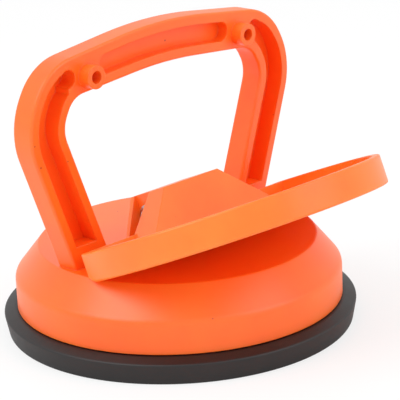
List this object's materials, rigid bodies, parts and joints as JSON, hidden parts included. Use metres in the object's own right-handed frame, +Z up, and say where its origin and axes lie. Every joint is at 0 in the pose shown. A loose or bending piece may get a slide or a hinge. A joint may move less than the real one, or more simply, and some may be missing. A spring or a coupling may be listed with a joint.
{
  "type": "vacuum suction cup",
  "caption": "Hand-held vacuum suction cup with a rubber disc, an arch handle and a flap lever that lifts the centre of the disc.",
  "frame": {"origin": "centre of the suction face, in the plane that grips the surface", "axes": "+Z up out of the surface, +X along the arch handle, -Y the way the lever points"},
  "size_m": [0.1182, 0.1332, 0.1013],
  "materials": {
    "orange_moulding": "moulded orange plastic",
    "orange_lever": "moulded orange plastic, lever",
    "black_rubber": "moulded black rubber",
    "zinc_steel": "zinc-plated steel",
    "bright_steel": "ground steel pin"
  },
  "bodies": {
    "housing": {"housing": "orange_moulding", "suction_disc": "black_rubber", "wear_washer": "zinc_steel"},
    "stem": {"stem": "zinc_steel", "insert_plate": "zinc_steel"},
    "lever": {"lever": "orange_lever", "pivot_pin": "bright_steel", "pin_clip_left": "bright_steel", "pin_clip_right": "bright_steel"}
  },
  "joints": [
    {"name": "stem_lift", "type": "slide", "parent": "housing", "child": "stem", "axis": [0, 0, 1], "range_m": [0, 0.0038]},
    {"name": "lever_hinge", "type": "hinge", "parent": "stem", "child": "lever", "pos_m": [0, 0, 0.039], "axis": [-1, 0, 0], "range_deg": [-22.5, 0]}
  ],
  "couplings": [
    {"joint": "stem_lift", "follows": "lever_hinge", "m_per_rad": -0.0096766}
  ]
}
